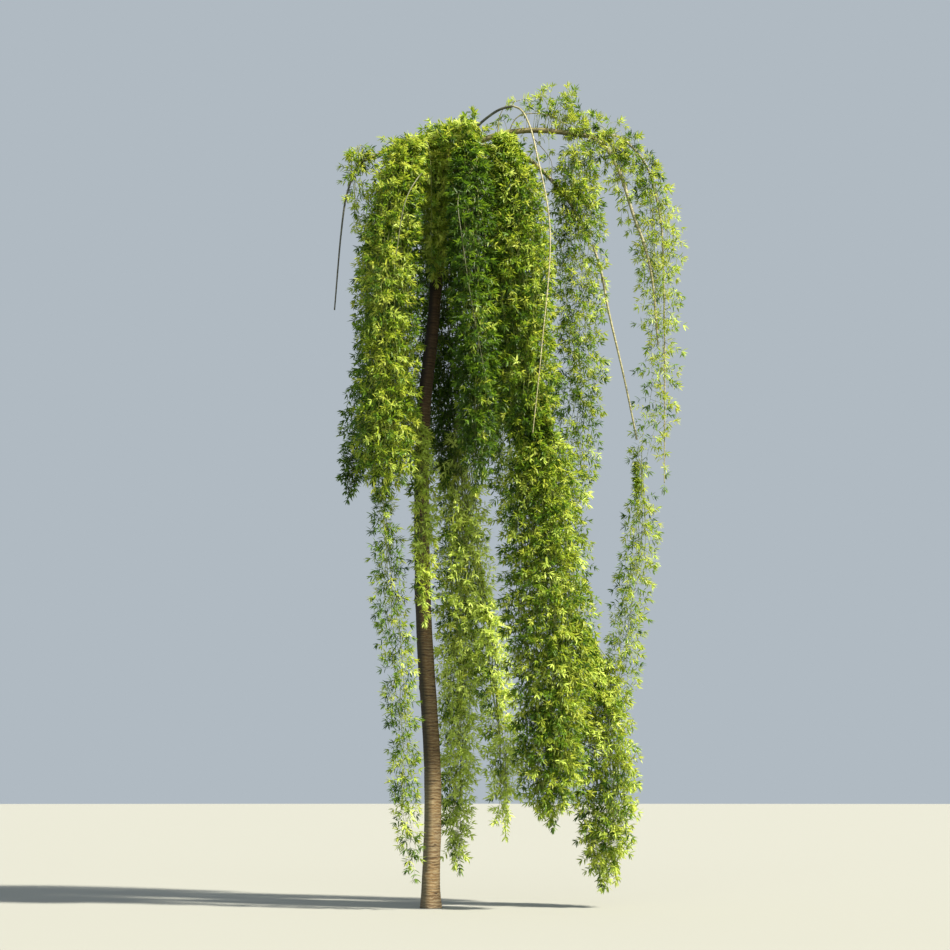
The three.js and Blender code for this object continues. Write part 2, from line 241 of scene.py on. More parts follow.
def limb_piece(name, rows, sides, place, material):
    """A cylinder cut into level rings, whose wall place(share, angle) moves to the limb."""
    shape = bmesh.new()
    bmesh.ops.create_cone(shape, cap_ends=True, segments=sides, radius1=1, radius2=1, depth=1)
    upright = [e for e in shape.edges if abs(e.verts[0].co.z - e.verts[1].co.z) > 0.5]
    bmesh.ops.subdivide_edges(shape, edges=upright, cuts=rows - 1)
    x, y, z = np.array([v.co for v in shape.verts]).T
    for vertex, point in zip(shape.verts, place(z + 0.5, np.arctan2(y, x))):
        vertex.co = point
    bmesh.ops.recalc_face_normals(shape, faces=shape.faces)
    mesh = bpy.data.meshes.new(name)
    shape.to_mesh(mesh)
    shape.free()
    mesh.materials.append(material)
    mesh.polygons.foreach_set("use_smooth", [True] * len(mesh.polygons))
    piece = bpy.data.objects.new(name, mesh)
    bpy.context.scene.collection.objects.link(piece)
    return piece


def smooth_line(points, step):
    """Points a step apart on the curve that runs smoothly through the given ones."""
    given = np.array(points, float)
    ends = np.vstack([2 * given[0] - given[1], given, 2 * given[-1] - given[-2]])
    line = []
    for k in range(1, len(ends) - 2):
        a, b, c, d = ends[k - 1 : k + 3]
        knots = np.cumsum([0, *(np.sqrt(np.linalg.norm(q - p)) for p, q in ((a, b), (b, c), (c, d)))])
        count = max(2, int(np.linalg.norm(c - b) / step) + 1)
        t = np.linspace(knots[1], knots[2], count, endpoint=False)[:, None]
        t0, t1, t2, t3 = knots
        ab = (t1 - t) / (t1 - t0) * a + (t - t0) / (t1 - t0) * b
        bc = (t2 - t) / (t2 - t1) * b + (t - t1) / (t2 - t1) * c
        cd = (t3 - t) / (t3 - t2) * c + (t - t2) / (t3 - t2) * d
        left = (t2 - t) / (t2 - t0) * ab + (t - t0) / (t2 - t0) * bc
        right = (t3 - t) / (t3 - t1) * bc + (t - t1) / (t3 - t1) * cd
        line.append((t2 - t) / (t2 - t1) * left + (t - t1) / (t2 - t1) * right)
    return np.vstack([*line, given[-1:]])


def unit(v):
    return v / np.maximum(np.linalg.norm(v, axis=-1, keepdims=True), 1e-9)


def line_length(line):
    return np.linalg.norm(np.diff(line, axis=0), axis=1).sum()


def along(line, shares):
    """Points on a line, at shares of its length."""
    lengths = np.r_[0, np.cumsum(np.linalg.norm(np.diff(line, axis=0), axis=1))]
    return np.stack([np.interp(shares * lengths[-1], lengths, values) for values in line.T], -1)


def sides_of(ahead, guide):
    """Two directions at right angles to a heading and to each other, turned from a guide."""
    aside = unit(np.cross(ahead, guide))
    return aside, np.cross(aside, ahead)


def rings_in_bark(points, pitch):
    """How high the bark stands at each point, roughly from -1 to 1: broken level rings."""
    height = np.empty(len(points))
    for i, point in enumerate(points):
        wander = noise.noise(point * RING_WANDER) * RING_DRIFT
        broken = noise.noise(point * RING_BREAKS)
        strong = 0.5 + noise.noise(point * RING_FADES)
        ring = math.sin(2 * math.pi * (point[2] / pitch + wander))
        height[i] = strong * ring + RING_BREAK_DEPTH * broken
    return height


heights, middles, halves = level_cuts("trunk", TRUNK_CUT_STEP)
trunk_line = smooth_line(np.c_[middles, heights][::-1], TRUNK_CUT_STEP)
trunk_top = float(heights[0])
rng = np.random.default_rng(KNOT_SEED)
knot_heights = rng.uniform(*KNOT_HEIGHTS, KNOTS)
knot_angles = rng.uniform(0, 2 * np.pi, KNOTS)
knot_depths = rng.uniform(*KNOT_DEPTH, KNOTS)


def trunk_place(share, angle):
    """The trunk's wall at shares of its height, with the rings, lumps and knots of its bark."""
    z = share * trunk_top
    centre = np.stack([np.interp(z, trunk_line[:, 2], trunk_line[:, k]) for k in (0, 1)], -1)
    radius = np.interp(z, heights[::-1], halves[::-1].mean(1))
    around = np.stack([np.cos(angle), np.sin(angle)], -1)
    wall = np.c_[centre + around * radius[:, None], z]
    lift = RING_DEPTH * rings_in_bark(wall, RING_PITCH)
    lift += LUMP_DEPTH * np.array([noise.noise(Vector(p) / LUMP_LENGTH) for p in wall])
    for height, turn, depth in zip(knot_heights, knot_angles, knot_depths):
        across = radius * np.angle(np.exp(1j * (angle - turn)))
        lift += depth * np.exp(-((z - height) ** 2 + across**2) / KNOT_SIZE**2)
    wall[:, :2] += around * lift[:, None]
    return wall


trunk_bark = bark_material(
    "wrinkled_willow_bark",
    {
        "crack": "#503c29", "plate": "#98764e", "worn": "#ba9563", "scar": "#e4cda2",
        # In the next line, the last three colours are painted shade: on the side away from the key light,
        # and under the crown on the lower trunk and higher up.
        "film": "#81705a", "painted_side_shade": "#383c31", "low": "#84837a", "high": "#5a5247",
    },
    wrinkle=0.02,
    roughness=0.85,
    old=True,
)
trunk = limb_piece("trunk_bark", int(trunk_top / TRUNK_STEP), TRUNK_SIDES, trunk_place, trunk_bark)
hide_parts("trunk")
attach(trunk, "root")

# The boughs that show are green wood under smooth young bark. They arch from the fork and hang
# over; the thinnest are bare shoots that have lost their leaves. Each runs from thick to thin
# along the points of its line.
BOUGH_SIDES = 14
THIN_BOUGH_SIDES = 10
THIN_BOUGH = 0.025
BOUGH_ROW = 0.025
FEWEST_ROWS = 12
BOUGH_STEP = 0.03
BOUGH_RELIEF = 0.07
# How close the bark's swellings are: big ones, and fine ones of a share of their height.
BIG_SWELLS = 9
FINE_SWELLS = 30
FINE_HEIGHT = 0.5
# A bough's heading is taken over this share of its length, each way, and its sides are turned
# from this direction.
HEADING_SHARE = 0.01
BOUGH_GUIDE = (0.08, 1.0, 0.05)
BOUGHS = {
    "bough_right_high": (
        [(0.425, 0, 10.9), (0.74, 0, 11.03), (1.075, 0, 11.135), (1.5, 0.01, 11.18),
         (2.105, 0.06, 11.14), (2.38, 0.1, 11.105)],
        (0.046, 0.034),
    ),
    "bough_right_outer": (
        [(2.37, 0.1, 11.115), (2.715, 0.12, 11.13), (2.97, 0.15, 10.94), (3.175, 0.2, 10.65),
         (3.275, 0.22, 10.3), (3.36, 0.25, 9.835), (3.385, 0.27, 9.1), (3.38, 0.27, 7.9),
         (3.34, 0.24, 5.95)],
        (0.02, 0.007),
    ),
    "bough_right_inner": (
        [(2.38, 0.1, 11.095), (2.58, 0.08, 10.9), (2.76, 0.04, 10.49), (2.94, 0, 9.85),
         (3.08, 0, 9.44), (3.19, 0.04, 8.94), (3.27, 0.12, 7.96)],
        (0.03, 0.013),
    ),
    "bough_right_low": (
        [(0.43, 0, 10.73), (0.66, 0, 10.84), (1.07, -0.06, 10.88), (1.29, -0.1, 10.775),
         (1.525, -0.13, 10.58), (1.97, -0.15, 10.06), (2.2, -0.14, 9.6)],
        (0.04, 0.02),
    ),
    "bough_whip_rise": (
        [(0.43, -0.02, 10.94), (0.575, -0.04, 11.143), (0.78, -0.13, 11.31), (0.98, -0.25, 11.403),
         (1.17, -0.38, 11.407)],
        (0.021, 0.018),
    ),
    "bough_whip_fall": (
        [(1.171, -0.381, 11.407), (1.285, -0.45, 11.32), (1.395, -0.55, 11.07), (1.5, -0.8, 10.515),
         (1.663, -1.15, 9.295), (1.523, -1.45, 7.505), (1.393, -1.6, 6.32)],
        (0.014, 0.006),
    ),
    "crest_twig": (
        [(1.1, 0.12, 11.16), (1.25, 0.1, 11.42), (1.6, 0.1, 11.47), (1.9, 0.1, 11.34),
         (2.15, 0.1, 11.13), (2.3, 0.1, 10.95)],
        (0.009, 0.005),
    ),
    "crest_twig_left": (
        [(0.95, 0.04, 11.13), (0.98, 0, 11.38), (1.08, -0.02, 11.56), (1.3, -0.02, 11.64)],
        (0.008, 0.004),
    ),
    "whip_side_twig": (
        [(1.44, -0.63, 10.85), (1.51, -0.62, 10.77), (1.71, -0.62, 10.48), (1.7, -0.64, 10.12)],
        (0.008, 0.004),
    ),
    "bough_left_high": (
        [(0.41, 0, 10.86), (0.105, -0.15, 10.88), (-0.255, -0.28, 10.835), (-0.615, -0.38, 10.755),
         (-0.8, -0.43, 10.645), (-1.013, -0.47, 10.525), (-1.124, -0.5, 10.34)],
        (0.036, 0.014),
    ),
    "shoot_left_bare": (
        [(-1.124, -0.5, 10.345), (-1.2, -0.5, 10.115), (-1.248, -0.5, 9.9), (-1.3, -0.5, 9.437),
         (-1.379, -0.5, 8.317)],
        (0.015, 0.010),
    ),
    "shoot_front_left": (
        [(-0.12, -1.36, 10.05), (-0.165, -1.5, 9.945), (-0.275, -1.62, 9.72), (-0.355, -1.7, 9.465),
         (-0.454, -1.8, 8.727)],
        (0.011, 0.006),
    ),
    "shoot_front_centre": (
        [(0.43, -1.25, 9.9), (0.38, -1.52, 9.56), (0.445, -1.6, 9.0), (0.56, -1.6, 8.2),
         (0.77, -1.56, 7.05)],
        (0.008, 0.005),
    ),
    "stem_right_fall": (
        [(2.33, -0.1, 9.4), (2.455, -0.1, 8.937), (2.53, -0.08, 8.49), (2.76, 0, 7.455),
         (2.942, 0.08, 6.55)],
        (0.02, 0.012),
    ),
}
# Boughs within the head: the height they leave the trunk at, how far they arch over the straight
# line, their radius at the trunk, and the leaf mass that they carry.
CARRIERS = {
    "bough_front_left": (10.56, 0.23, 0.046, "leaves_left_front"),
    "bough_front": (10.42, 0.22, 0.042, "leaves_centre_front"),
    "bough_front_right": (10.64, 0.19, 0.046, "leaves_right_front_high"),
    "bough_left_mid": (10.20, 0.16, 0.040, "leaves_left_mid"),
    "bough_rear_left": (10.50, 0.23, 0.046, "leaves_left_rear"),
    "bough_rear": (10.30, 0.22, 0.044, "leaves_centre_rear"),
    "bough_heart": (10.10, 0.15, 0.040, "leaves_heart"),
    "bough_rear_right": (10.58, 0.23, 0.050, "leaves_right_rear_high"),
    "bough_far_rear": (10.76, 0.33, 0.044, "leaves_far_rear"),
}
# A carrier's radius at its end as a share of that at the trunk, how far under the top of its mass
# it ends, and the share of the way out where it arches most.
CARRIER_TAPER = 0.68
CARRIER_DEPTH = 0.42
CARRIER_CROWN = 0.55
OUTLINE_STEP = 0.2
# How far the foliage of some masses spreads past the solid on each side, or keeps within it where
# negative, and how far it lies to the right of it, or to the left. Both grow from nothing at the
# top of the mass, over the rise below.
SPREADS = {
    "leaves_right_foot": 0.17, "leaves_mid": 0.05, "leaves_right_inner": -0.02,
    "leaves_right_front_high": -0.05, "leaves_right_front_low": -0.03, "leaves_mid_right": -0.03,
}
SHIFTS = {
    "leaves_right_inner": -0.17, "leaves_mid": 0.08, "leaves_right_front_high": -0.03,
    "leaves_right_front_low": -0.05, "leaves_mid_right": 0.13,
}
SPREAD_RISE = 3.0
# Curtains whose foot is cut off level: below this height over it they keep their width.
FULL_FEET = {"leaves_left_front": 1.1, "leaves_left_mid": 1.1}

leaf_masses = [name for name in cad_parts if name.startswith("leaves_")]
outlines = {mass: level_cuts(mass, OUTLINE_STEP) for mass in leaf_masses}


def outline_at(mass, z):
    """Middle and half sizes of a leaf mass at heights z."""
    levels, centres, sizes = outlines[mass]
    z = np.maximum(z, levels[-1] + FULL_FEET.get(mass, 0.0))
    grown = np.clip((levels[0] - z) / SPREAD_RISE, 0, 1)[..., None]
    middle, half = (
        np.stack([np.interp(z, levels[::-1], table[::-1, k]) for k in (0, 1)], -1)
        for table in (centres, sizes)
    )
    shift = grown * (SHIFTS.get(mass, 0.0), 0.0)
    return middle + shift, half + grown * SPREADS.get(mass, 0.0)


for name, (leaves_at, rise, thick, mass) in CARRIERS.items():
    start = along(trunk_line, leaves_at / trunk_top)
    end_height = outlines[mass][0][0] - CARRIER_DEPTH
    end = np.r_[outline_at(mass, end_height)[0], end_height]
    crown = start + CARRIER_CROWN * (end - start) + (0, 0, rise)
    BOUGHS[name] = ([start, crown, end], (thick, thick * CARRIER_TAPER))

bough_lines = {name: smooth_line(line, BOUGH_STEP) for name, (line, _) in BOUGHS.items()}


def tube_place(line, thick):
    """A rule for limb_piece: a tapering limb along a line, with low swellings in its bark."""

    def place(share, angle):
        centre = along(line, share)
        before = along(line, np.maximum(share - HEADING_SHARE, 0))
        after = along(line, np.minimum(share + HEADING_SHARE, 1))
        aside, upright = sides_of(unit(after - before), BOUGH_GUIDE)
        around = aside * np.cos(angle)[:, None] + upright * np.sin(angle)[:, None]
        radius = (thick[0] + (thick[1] - thick[0]) * share)[:, None]
        wall = centre + around * radius
        swell = [
            noise.noise(Vector(p) * BIG_SWELLS) + FINE_HEIGHT * noise.noise(Vector(p) * FINE_SWELLS)
            for p in wall
        ]
        return wall + around * radius * BOUGH_RELIEF * np.array(swell)[:, None]

    return place


bough_bark = bark_material(
    "smooth_young_bark",
    {"crack": "#2f2a18", "plate": "#4f4929", "worn": "#6d6539", "scar": "#8f865a", "film": "#565a2c"},
    wrinkle=0.03,
    roughness=0.65,
)
shoot_bark = bark_material(
    "pale_shoot_bark",
    {"crack": "#4f4c36", "plate": "#736f4d", "worn": "#8a8663", "scar": "#a5a07b", "film": "#75784d"},
    wrinkle=0.03,
    roughness=0.55,
)
whip_bark = bark_material(
    "dark_shoot_bark",
    {"crack": "#1f1d16", "plate": "#37362c", "worn": "#4b4c3e", "scar": "#6a6b58", "film": "#3f463c"},
    wrinkle=0.03,
    roughness=0.6,
)
green_bark = bark_material(
    "green_shoot_skin",
    {"crack": "#23290f", "plate": "#373d1a", "worn": "#464b25", "scar": "#5b5d3a", "film": "#3b421d"},
    wrinkle=0.03,
    roughness=0.5,
)
PALE_SHOOTS = (
    "bough_whip_fall", "stem_right_fall", "bough_right_inner",
    "bough_right_outer", "crest_twig", "crest_twig_left",
)
GREEN_SHOOTS = ("shoot_front_left", "shoot_front_centre")
DARK_SHOOTS = ("bough_whip_rise", "whip_side_twig", "shoot_left_bare")
barks = dict.fromkeys(PALE_SHOOTS, shoot_bark) | dict.fromkeys(GREEN_SHOOTS, green_bark)
barks |= dict.fromkeys(DARK_SHOOTS, whip_bark)
for name, (_, thick) in BOUGHS.items():
    line = bough_lines[name]
    bark = barks.get(name, bough_bark)
    rows = max(FEWEST_ROWS, int(line_length(line) / BOUGH_ROW))
    sides = BOUGH_SIDES if thick[0] > THIN_BOUGH else THIN_BOUGH_SIDES
    bough = limb_piece(name + "_bark", rows, sides, tube_place(line, thick), bark)
    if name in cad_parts:
        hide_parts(name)
    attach(bough, "root")

# Willow leaves are thin lance-shaped blades, satin above and duller below, and let some of the sun
# through. Each leafy twig has one of a few tints, from deep green to the pale green of young leaves;
# the palest tints also stand for painted light on shaded curtains.
LEAF_TINTS = {
    "deep_green": ("#2b4610", "#577b1c"),
    "green": ("#506f1d", "#81a024"),
    "grass_green": ("#778c2b", "#a8ba35"),
    "yellow_green": ("#98a540", "#c0ca4c"),
    "pale_green": ("#a5ba52", "#c4d660"),
    "palest_green": ("#bccf66", "#d6e47a"),
}
THROUGH_LIGHT = 0.4


def leaf_material(name, face, through):
    """A leaf blade: satin wax over green, with the light that comes through from behind."""
    material, tree = new_material(name)
    blade = add_node(
        tree, "ShaderNodeBsdfPrincipled",
        inputs={"Base Color": linear(face), "Roughness": 0.48, "IOR": 1.42},
    )
    glow = add_node(tree, "ShaderNodeBsdfTranslucent", inputs={"Color": linear(through)})
    both = add_node(tree, "ShaderNodeMixShader", inputs={"Fac": THROUGH_LIGHT})
    tree.links.new(blade.outputs[0], both.inputs[1])
    tree.links.new(glow.outputs[0], both.inputs[2])
    add_node(tree, "ShaderNodeOutputMaterial", inputs={"Surface": both.outputs[0]})
    return material


leaf_materials = [leaf_material("leaf_" + name, *tints) for name, tints in LEAF_TINTS.items()]

# A twig's skin is smooth and green, with a soft shine.
stem_material, stem_tree = new_material("green_twig_skin")
stem_skin = add_node(
    stem_tree, "ShaderNodeBsdfPrincipled",
    inputs={"Base Color": linear("#626d2e"), "Roughness": 0.5, "IOR": 1.45},
)
add_node(stem_tree, "ShaderNodeOutputMaterial", inputs={"Surface": stem_skin.outputs["BSDF"]})

# Along a twig: the share of its length that each tuft sits at, and the tuft's number of leaves.
# Twigs out in the open have narrower leaves, and more of them at the tip.
TUFTS = ((0.12, 1), (0.45, 3), (0.74, 4), (1.0, 6))
OPEN_TUFTS = ((0.35, 2), (0.7, 4), (1.0, 8))
# The share of twigs whose tip is one tint paler than the rest, short of the palest: partly young leaves,
# partly painted highlight.
YOUNG_OR_LIT_TIPS = 0.4
LEAF_LENGTH = (0.075, 0.115)
# Shares of a leaf's length: its width, and how far along it the blade is widest and narrows.
LEAF_WIDTH = 0.22
OPEN_LEAF_WIDTH = 0.17
BLADE_WIDEST = 0.3
BLADE_NARROWS = 0.66
NARROWER = 0.85
LEAF_FOLD = 0.35
LEAF_LIFT = (-0.02, 0.05)
LEAF_DROOP = (-0.05, 0.35)
LEAF_TWIST = 0.4
# The angles in radians that leaves stand off at, at a twig's tip and along it.
TIP_SPREAD = (0.1, 1.15)
SIDE_SPREAD = (0.6, 1.4)
TWIG_RADIUS = 0.003
# Leaves and twigs follow each other round a stem by this turn, from a start at any angle.
GOLDEN_ANGLE = math.radians(137.5)
FULL_TURN = 6.28
# The sides of shoots and of twigs are turned from these directions.
SHOOT_GUIDE = (0.31, 0.94, 0.12)
TWIG_GUIDE = (0.31, 0.24, 0.92)
DOWN = np.array([0.0, 0.0, -1.0])


def piece_from_arrays(name, points, faces, materials, tints=None):
    """A piece from arrays of points and of faces with the same number of corners."""
    mesh = bpy.data.meshes.new(name)
    count, corners = faces.shape
    mesh.vertices.add(len(points))
    mesh.vertices.foreach_set("co", points.astype(np.float32).ravel())
    mesh.loops.add(count * corners)
    mesh.loops.foreach_set("vertex_index", faces.astype(np.int32).ravel())
    mesh.polygons.add(count)
    mesh.polygons.foreach_set("loop_start", np.arange(0, count * corners, corners, dtype=np.int32))
    for material in materials:
        mesh.materials.append(material)
    if tints is not None:
        mesh.polygons.foreach_set("material_index", tints.astype(np.int32))
    mesh.update(calc_edges=True)
    piece = bpy.data.objects.new(name, mesh)
    bpy.context.scene.collection.objects.link(piece)
    return piece


def twig_at(twigs, t):
    """Points and headings on drooping twigs, at shares t of their lengths."""
    bend = (twigs["droop"] * t)[:, None] * DOWN
    place = twigs["start"] + (twigs["heading"] + bend / 2) * (twigs["length"] * t)[:, None]
    return place, unit(twigs["heading"] + bend)


def stems_mesh(lines, thick, thin):
    """Three-sided closed stems along lines, each from thick to thin. All as triangles."""
    points, faces, first = [], [], 0
    for line in lines:
        n = len(line)
        aside, upright = sides_of(unit(np.gradient(line, axis=0)), SHOOT_GUIDE)
        radius = np.linspace(thick, thin, n)[:, None]
        for corner in range(3):
            angle = corner * 2 * np.pi / 3
            points.append(line + radius * (aside * math.cos(angle) + upright * math.sin(angle)))
        row = np.arange(n - 1)
        for corner in range(3):
            a, b = first + corner * n + row, first + (corner + 1) % 3 * n + row
            faces += [np.stack([a, b, b + 1], -1), np.stack([a, b + 1, a + 1], -1)]
        faces.append([[first + 2 * n, first + n, first]])
        faces.append([[first + n - 1, first + 2 * n - 1, first + 3 * n - 1]])
        first += 3 * n
    return np.vstack(points), np.vstack(faces)


def twigs_mesh(twigs):
    """Every side twig as a closed three-sided needle."""
    count = len(twigs["length"])
    centre, ahead = twig_at(twigs, np.zeros(count))
    aside, upright = sides_of(ahead, TWIG_GUIDE)
    corners = []
    for corner in range(3):
        angle = corner * 2 * np.pi / 3
        corners.append(centre + TWIG_RADIUS * (aside * math.cos(angle) + upright * math.sin(angle)))
    points = np.stack([*corners, twig_at(twigs, np.ones(count))[0]], 1).reshape(-1, 3)
    pattern = np.array([(2, 1, 0), (0, 1, 3), (1, 2, 3), (2, 0, 3)])
    return points, (np.arange(count)[:, None, None] * 4 + pattern[None]).reshape(-1, 3)


def leaves_mesh(twigs, tufts, width, rng):
    """The leaves of twigs, in tufts: each leaf is the two folded halves of a lance-shaped blade."""
    twig_count = len(twigs["length"])
    share = np.tile(np.concatenate([[s] * n for s, n in tufts]), twig_count)
    order = np.tile(np.concatenate([np.arange(n) for _, n in tufts]), twig_count)
    owner = np.repeat(np.arange(twig_count), len(share) // twig_count)
    mine = {name: values[owner] for name, values in twigs.items()}
    base, ahead = twig_at(mine, share)
    count = len(owner)
    at_tip = share == 1.0
    least, most = (np.where(at_tip, *both) for both in zip(TIP_SPREAD, SIDE_SPREAD))
    spread = least + (most - least) * rng.uniform(0, 1, count)
    turn = order * GOLDEN_ANGLE + rng.uniform(0, FULL_TURN, twig_count)[owner]
    aside, upright = sides_of(ahead, TWIG_GUIDE)
    radial = aside * np.cos(turn)[:, None] + upright * np.sin(turn)[:, None]
    blade = ahead * np.cos(spread)[:, None] + radial * np.sin(spread)[:, None]
    blade = unit(blade + DOWN * rng.uniform(*LEAF_DROOP, count)[:, None])
    across = unit(np.cross(blade, -DOWN) + rng.normal(0, LEAF_TWIST, base.shape))
    across = unit(across - blade * (across * blade).sum(-1, keepdims=True))
    facing = np.cross(across, blade)
    length = rng.uniform(*LEAF_LENGTH, count)[:, None]
    half = length * width / 2
    lift = half * LEAF_FOLD + length * rng.uniform(*LEAF_LIFT, count)[:, None]
    low, high = base + blade * length * BLADE_WIDEST, base + blade * length * BLADE_NARROWS
    points = np.stack(
        [
            base,
            low - across * half + facing * lift,
            high - across * half * NARROWER + facing * lift,
            base + blade * length,
            high + across * half * NARROWER + facing * lift,
            low + across * half + facing * lift,
        ],
        1,
    ).reshape(-1, 3)
    halves_of_blade = np.array([[0, 3, 2, 1], [0, 5, 4, 3]])
    faces = (np.arange(count)[:, None, None] * 6 + halves_of_blade[None]).reshape(-1, 4)
    # Partly painted highlight: some tip tufts are one tint paler.
    young_or_lit = at_tip & (rng.uniform(0, 1, twig_count) < YOUNG_OR_LIT_TIPS)[owner]
    tint = mine["tint"] + (young_or_lit & (mine["tint"] < len(LEAF_TINTS) - 2))
    return points, faces, np.repeat(tint, 2)


# The head is curtains of hanging shoots. Shoots fan out from the end of the bough that carries
# them, or branch from a shoot above, and hang to a ragged foot. Leafy twigs stand out from them.
# The mixes that are mostly deep green are painted shade, for curtains that lie in shade; those that are
# mostly pale green, and the clear mix, are painted light, for shaded curtains in the middle.
TINT_MIXES = {
    "sunny": (0.10, 0.24, 0.34, 0.23, 0.08, 0.01),
    "shaded": (0.68, 0.24, 0.07, 0.01, 0.00, 0.00),
    "deep": (0.80, 0.14, 0.05, 0.01, 0.00, 0.00),
    "painted_dim_shade": (0.62, 0.24, 0.10, 0.04, 0.00, 0.00),
    "painted_light": (0.00, 0.03, 0.12, 0.30, 0.53, 0.02),
    "painted_full_light": (0.00, 0.01, 0.04, 0.12, 0.36, 0.47),
    "clear": (0.00, 0.10, 0.35, 0.30, 0.25, 0.00),
    "middling": (0.20, 0.34, 0.29, 0.13, 0.03, 0.01),
    "airy": (0.08, 0.24, 0.34, 0.24, 0.10, 0.00),
    "yellowing": (0.05, 0.18, 0.31, 0.23, 0.08, 0.15),
}
# Each curtain: the bough or curtain it hangs from, number of shoots, spacing of twigs on a shoot,
# twig lengths, the mix of tints, and how ragged its foot is.
CURTAINS = {
    "leaves_left_front": ("bough_front_left", 32, 0.11, (0.16, 0.34), "sunny", 0.09),
    "leaves_left_mid": ("bough_left_mid", 16, 0.14, (0.18, 0.36), "deep", 0.16),
    "leaves_left_rear": ("bough_rear_left", 19, 0.12, (0.18, 0.36), "shaded", 0.12),
    "leaves_left_outer": ("bough_left_high", 7, 0.13, (0.10, 0.26), "airy", 0.5),
    "leaves_centre_short": ("bough_front_left", 20, 0.11, (0.14, 0.30), "clear", 0.45),
    "leaves_centre_front": ("bough_front", 22, 0.12, (0.16, 0.34), "painted_dim_shade", 0.35),
    "leaves_centre_rear": ("bough_rear", 32, 0.12, (0.18, 0.38), "deep", 0.15),
    "leaves_heart": ("bough_heart", 18, 0.13, (0.18, 0.36), "deep", 0.2),
    "leaves_right_front_high": ("bough_front_right", 35, 0.11, (0.16, 0.34), "middling", 0.15),
    "leaves_right_rear_high": ("bough_rear_right", 22, 0.14, (0.18, 0.36), "painted_dim_shade", 0.14),
    "leaves_right_inner": ("bough_right_low", 11, 0.075, (0.14, 0.38), "middling", 0.45),
    "leaves_far_right_high": ("bough_right_inner", 3, 0.08, (0.16, 0.42), "airy", 0.3),
    "leaves_far_rear": ("bough_far_rear", 13, 0.13, (0.18, 0.36), "middling", 0.3),
    "leaves_right_front_low": ("leaves_right_front_high", 39, 0.11, (0.16, 0.36), "sunny", 0.25),
    "leaves_right_rear_low": ("leaves_right_rear_high", 16, 0.14, (0.18, 0.36), "middling", 0.3),
    "leaves_mid": ("leaves_centre_rear", 20, 0.11, (0.16, 0.34), "painted_full_light", 0.7),
    "leaves_mid_right": ("leaves_mid", 12, 0.11, (0.14, 0.34), "painted_full_light", 0.3),
    "leaves_rear_low": ("leaves_centre_rear", 9, 0.13, (0.18, 0.36), "middling", 0.4),
    "leaves_left_low": ("leaves_left_front", 4, 0.06, (0.14, 0.30), "middling", 0.25),
    "leaves_trunk_veil": ("leaves_left_front", 9, 0.09, (0.10, 0.24), "painted_light", 1.0),
    "leaves_far_right_low": ("leaves_far_right_high", 5, 0.07, (0.16, 0.34), "airy", 0.3),
    "leaves_right_foot": ("leaves_right_front_low", 26, 0.11, (0.14, 0.36), "yellowing", 0.32),
    "leaves_right_shoulder": ("bough_right_high", 9, 0.12, (0.10, 0.28), "airy", 0.9),
}
OPEN_MASSES = (
    "leaves_left_outer", "leaves_right_inner", "leaves_far_right_high", "leaves_far_right_low",
    "leaves_left_low", "leaves_right_shoulder", "leaves_crest_right",
)
# Leafy twigs that grow straight from a bough, in with the mass that they belong to: the boughs,
# the spacing of the twigs and their lengths.
BOUGH_SPRAYS = {
    "leaves_right_inner": (("bough_right_low",), 0.07, (0.05, 0.18)),
    "leaves_far_right_high": (("bough_right_inner",), 0.18, (0.10, 0.30)),
    "leaves_left_outer": (("bough_left_high",), 0.16, (0.05, 0.12)),
    "leaves_centre_front": (("shoot_front_centre",), 0.10, (0.06, 0.14)),
    "leaves_crest_right": (
        ("bough_right_high", "bough_right_outer", "crest_twig", "crest_twig_left"),
        0.13,
        (0.05, 0.22),
    ),
    "leaves_far_rear": (("bough_far_rear",), 0.07, (0.06, 0.24)),
    "leaves_right_rear_high": (("bough_rear_right",), 0.08, (0.06, 0.24)),
    "leaves_left_rear": (("bough_rear_left",), 0.08, (0.06, 0.20)),
}
# Shoots that have lost their leaves near the top, over a share of their length.
BARE_TOPS = {"leaves_mid": 0.17, "leaves_mid_right": 0.1}
# Where shoots leave a bough, as a share of its length back from its end, and where they begin to
# hang, as shares of the curtain's height down from its top.
BOUGH_END = (0, 0.3)
HANG_FROM_BOUGH = (0.06, 0.17)
HANG_FROM_SHOOTS = (0.0, 0.25)
# Most shoots end near the foot, and a few well above it, by this beta distribution.
FOOT_RAGGED = (1.0, 2.2)
# A shoot branches from the point above it that is nearest to one this far over its start, and at
# least this far over it.
BRANCH_RISE = 0.6
BRANCH_LEAST = 0.25
# How unevenly shoots are set round a curtain, and the least share of its half width they fill.
PLAN_WOBBLE = 0.3
LEAST_ROOM = 0.35
# A shoot sways by this much, in a slow and a quicker wave each way, the quicker one smaller.
SWAY = 0.035
SWAY_WAVES = ((2.1, 4.7), (1.8, 5.1))
QUICK_SWAY = 0.6
SHOOT_STEP = 0.22
# How far a shoot rises over its bough before it hangs, or stays under it where negative.
ARCH_LIFT = (0.05, 0.22)
ARCH_LIFTS = {
    "leaves_left_outer": (-0.12, 0.02),
    "leaves_left_front": (-0.10, 0.06),
    "leaves_left_mid": (-0.05, 0.08),
    "leaves_centre_short": (-0.10, 0.06),
}
SHOOT_RADIUS = (0.0065, 0.0025)
OPEN_SHOOT_RADIUS = (0.0045, 0.002)
# Room that is left for twigs beside the shoots of a curtain, and under their tips.
TWIG_REACH = 0.16
TIP_REACH = 0.15
TWIG_DROOP = (0.1, 0.6)
# Each twig's place on its own stretch of the shoot, how unevenly twigs turn and rise, and how
# strongly they point out of their curtain.
TWIG_PLACES = (0.1, 0.9)
TURN_WOBBLE = 0.4
RISE_WOBBLE = 0.32
OUTWARD = 1.1
